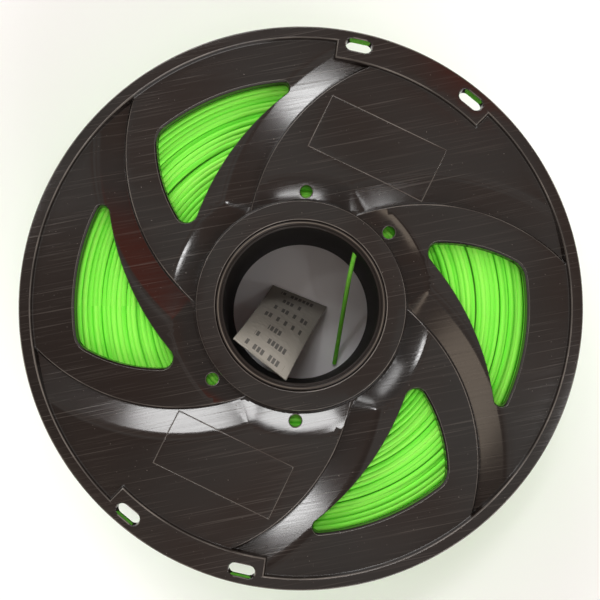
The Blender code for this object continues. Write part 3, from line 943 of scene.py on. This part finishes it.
class Nodes:
    """A new material, with short ways to add nodes to it and join them."""

    def __init__(self, name):
        self.material = bpy.data.materials.new(name)
        self.material.use_nodes = True
        self.tree = self.material.node_tree
        self.surface = self.tree.nodes["Principled BSDF"]

    def add(self, kind, inputs=(), **settings):
        node = self.tree.nodes.new("ShaderNode" + kind)
        for key, value in settings.items():
            setattr(node, key, value)
        for key, value in dict(inputs).items():
            if isinstance(value, bpy.types.NodeSocket):
                self.tree.links.new(value, node.inputs[key])
            else:
                node.inputs[key].default_value = value
        return node

    def math(self, operation, *values, clamp=False):
        return self.add("Math", enumerate(values), operation=operation, use_clamp=clamp).outputs[0]

    def rise(self, value, low, high, start=0.0, end=1.0):
        """The value taken from one range to another, and held at its ends."""
        limits = {"Value": value, "From Min": low, "From Max": high, "To Min": start, "To Max": end}
        return self.add("MapRange", limits, interpolation_type="SMOOTHSTEP").outputs[0]

    def mix(self, factor, first, second):
        node = self.add("Mix", data_type="RGBA")
        for socket, value in zip((node.inputs[0], node.inputs[6], node.inputs[7]), (factor, first, second)):
            if isinstance(value, bpy.types.NodeSocket):
                self.tree.links.new(value, socket)
            else:
                socket.default_value = value
        return node.outputs[2]

    def noise(self, place, scale, detail=2.0):
        return self.add("TexNoise", {"Vector": place, "Scale": scale, "Detail": detail}).outputs[0]

    def streaks(self, place, angle, along, across):
        """Noise stretched into lines at this angle, of about these lengths and spacings in metres."""
        inputs = {"Vector": place, "Rotation": (0, 0, math.radians(angle)), "Scale": (along, across, 1000)}
        return self.noise(self.add("Mapping", inputs, vector_type="TEXTURE").outputs[0], 1.0, 1.0)

    def distance_from_axis(self, x, y):
        squares = [self.math("MULTIPLY", value, value) for value in (x, y)]
        return self.math("SQRT", self.math("ADD", *squares))

    def chance(self, seed):
        """A number from 0 to 1 for each seed."""
        return self.add("TexWhiteNoise", {"W": seed}, noise_dimensions="1D").outputs[0]

    def near_middle(self, value, reach):
        """1 where the value is within this reach of one half."""
        return self.math("LESS_THAN", self.math("ABSOLUTE", self.math("SUBTRACT", value, 0.5)), reach)

    def finish(self, **inputs):
        for key, value in inputs.items():
            socket = self.surface.inputs[key.replace("_", " ")]
            if isinstance(value, bpy.types.NodeSocket):
                self.tree.links.new(value, socket)
            else:
                socket.default_value = value
        return self.material

    def bump(self, height, strength, distance):
        return self.add("Bump", {"Height": height, "Strength": strength, "Distance": distance}).outputs[0]


def black_plastic():
    """Glossy black polystyrene, finely scratched all over, with scuffed edges lightened by a painted highlight,
    and a little dust.
    """
    nodes = Nodes("black_plastic")
    place = nodes.add("TexCoord").outputs["Object"]
    hairlines = nodes.rise(nodes.streaks(place, 11, 0.03, 0.0006), 0.5, 0.75, 0.0, 0.05)
    scratches = nodes.rise(nodes.streaks(place, 11, 0.07, 0.0008), 0.66, 0.72, 0.0, 0.12)
    brushing = nodes.streaks(place, 12, 0.03, 0.0005)
    edge = nodes.add("Attribute", attribute_name="edge_scuff_and_painted_highlight").outputs["Fac"]
    edge_patchiness = nodes.rise(nodes.noise(place, 45), 0.35, 0.7, 0.25, 0.9)
    dust = nodes.rise(nodes.noise(place, 1500, 0.0), 0.84, 0.88, 0.0, 0.45)
    cloud = nodes.noise(place, 22)
    base = nodes.mix(cloud, (0.0145, 0.0090, 0.0075, 1), (0.0080, 0.0080, 0.0075, 1))
    # Lighter where scratched, dusty or scuffed, and a painted highlight along the sharp edges and label lines.
    marks_and_painted_edge_highlight = nodes.math("ADD", hairlines, scratches)
    marks_and_painted_edge_highlight = nodes.math("MAXIMUM", marks_and_painted_edge_highlight, nodes.math("MULTIPLY", edge, edge_patchiness))
    marks_and_painted_edge_highlight = nodes.math("MAXIMUM", marks_and_painted_edge_highlight, dust)
    unmarked = nodes.rise(brushing, 0.2, 0.8, 0.07, 0.11)
    return nodes.finish(
        Base_Color=nodes.mix(marks_and_painted_edge_highlight, base, (0.2, 0.175, 0.155, 1)),
        Roughness=nodes.math("ADD", unmarked, nodes.math("MULTIPLY", marks_and_painted_edge_highlight, 0.3)),
        Specular_IOR_Level=0.5,
    )


def bore_plastic():
    """The same plastic: glossy on the lips, and dull where the mould left it so, down the bore. Its colour has
    painted shade down the bore and a painted highlight ring on each lip.
    """
    nodes = Nodes("bore_plastic")
    place = nodes.add("TexCoord").outputs["Object"]
    x, y, _ = nodes.add("SeparateXYZ", {"Vector": place}).outputs
    radius = nodes.distance_from_axis(x, y)
    lip = nodes.rise(radius, (BORE_RADIUS + 0.05) * MM, (BORE_RADIUS + 0.3) * MM)
    # A painted highlight ring along the crest of each lip's bead, patchy.
    off_crest = nodes.math("ABSOLUTE", nodes.math("SUBTRACT", radius, (LINER_OUTER - 0.55) * MM))
    painted_lip_highlight = nodes.math("MULTIPLY", lip, nodes.rise(off_crest, 0.0, 0.35 * MM, 1.0, 0.0))
    painted_lip_highlight = nodes.math("MULTIPLY", painted_lip_highlight, nodes.rise(nodes.noise(place, 30), 0.3, 0.7, 0.3, 1.0))
    grain = nodes.noise(place, 1500)
    # Near black down the bore and a little lighter on the lips: painted shade inside the bore.
    black = nodes.mix(lip, (0.004, 0.003, 0.0025, 1), (0.02, 0.016, 0.014, 1))
    return nodes.finish(
        Base_Color=nodes.mix(painted_lip_highlight, black, (0.16, 0.135, 0.112, 1)),
        Roughness=nodes.rise(lip, 0.0, 1.0, 0.6, 0.18),
        Specular_IOR_Level=0.12,
        Normal=nodes.bump(grain, 0.05, 0.0001),
    )


def green_filament():
    """Slightly cloudy bright green plastic, its tone drifting along and between the turns."""
    nodes = Nodes("green_filament")
    place = nodes.add("TexCoord").outputs["Object"]
    x, y, _ = nodes.add("SeparateXYZ", {"Vector": place}).outputs
    radius = nodes.distance_from_axis(x, y)
    across_turns = nodes.math("MULTIPLY", radius, 700.0)
    unrolled = nodes.add("CombineXYZ", {"X": nodes.math("ARCTAN2", y, x), "Y": across_turns})
    drift = nodes.noise(unrolled.outputs[0], 1.0)
    turn = nodes.add("NewGeometry").outputs["Random Per Island"]
    shade = nodes.math("ADD", nodes.math("MULTIPLY", turn, 0.45), nodes.rise(drift, 0.3, 0.7, 0.0, 0.55))
    return nodes.finish(
        Base_Color=nodes.mix(shade, (0.13, 0.76, 0.035, 1), (0.33, 0.94, 0.11, 1)),
        Roughness=nodes.rise(nodes.noise(place, 900), 0.2, 0.8, 0.34, 0.46),
        Specular_IOR_Level=0.12,
        Subsurface_Weight=0.3,
        Subsurface_Radius=(0.5, 1.0, 0.25),
        Subsurface_Scale=0.001,
    )


def packet_paper():
    """Off-white fibre paper with rows of plain dark blocks in place of print."""
    nodes = Nodes("packet_paper")
    place = nodes.add("TexCoord").outputs["Object"]
    uv = nodes.add("SeparateXYZ", {"Vector": nodes.add("UVMap", uv_map="printed_side").outputs[0]})
    across, along = uv.outputs[0], uv.outputs[1]
    row = nodes.math("MULTIPLY", along, PRINT_ROWS)
    number = nodes.math("FLOOR", row)
    in_row = nodes.near_middle(nodes.math("FRACT", row), 0.21)
    half_width = nodes.math("MULTIPLY_ADD", nodes.chance(number), 0.24, 0.16)
    in_width = nodes.near_middle(across, half_width)
    cell = nodes.math("MULTIPLY", across, PRINT_CELLS)
    cell_seed = nodes.math("MULTIPLY_ADD", number, 31.0, nodes.math("FLOOR", cell))
    filled = nodes.math("GREATER_THAN", nodes.chance(cell_seed), 0.2)
    block = nodes.math("GREATER_THAN", nodes.math("FRACT", cell), 0.3)
    ink = nodes.math("MULTIPLY", in_row, in_width)
    ink = nodes.math("MULTIPLY", ink, nodes.math("MULTIPLY", filled, block))
    fibre = nodes.noise(place, 1800, 4.0)
    paper = nodes.mix(nodes.noise(place, 120), (0.35, 0.33, 0.29, 1), (0.40, 0.375, 0.33, 1))
    return nodes.finish(
        Base_Color=nodes.mix(nodes.math("MULTIPLY", ink, 0.75), paper, (0.035, 0.035, 0.04, 1)),
        Roughness=0.75,
        Normal=nodes.bump(fibre, 0.25, 0.0002),
    )


# ---------------------------------------------------------------- build


def add_piece(name, data, body, finish=None, slot=None, *replaced):
    piece = bpy.data.objects.new(name, data)
    bpy.context.scene.collection.objects.link(piece)
    if finish:
        data.materials.append(finish)
    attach(piece, body)
    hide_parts(*replaced)
    return piece


def build_flanges(plastic):
    moulding = flange_mesh()
    front = add_piece("front_flange_moulding", moulding, "spool", plastic, "black_plastic", "front_flange")
    front.location.z = (SPOOL_WIDTH - FLANGE_THICKNESS) * MM
    rear = add_piece("rear_flange_moulding", moulding, "spool", None, "black_plastic", "rear_flange")
    rear.location.z = FLANGE_THICKNESS * MM
    rear.rotation_euler.x = math.pi


def build_winding(filament):
    side = winding_side_mesh()
    node = "filament_winding"
    pieces = [
        add_piece("winding_front_side", side, "spool", filament, "green_filament", node),
        add_piece("winding_rear_side", side, "spool", None, "green_filament", node),
        add_piece("winding_outer_layer", outer_layer_mesh(), "spool", filament, "green_filament", node),
        add_piece("winding_inner_layers", winding_core_mesh(), "spool", filament, "green_filament", node),
    ]
    pieces[1].rotation_euler.x = math.pi
    for piece in pieces:
        piece.location.z = WINDING_MIDDLE * MM


build_camera()
build_stage()
build_light()
plastic = black_plastic()
filament = green_filament()
paper = packet_paper()

build_start_tail(filament)
build_flanges(plastic)
add_piece("bore_sleeve", liner_mesh(), "spool", bore_plastic(), "black_plastic", "bore_liner")
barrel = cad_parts["winding_barrel"]
barrel.data.materials.clear()
barrel.data.materials.append(plastic)
build_winding(filament)
packet = add_piece("desiccant_pouch", packet_mesh(), "packet", paper, "packet_paper", "desiccant_packet")
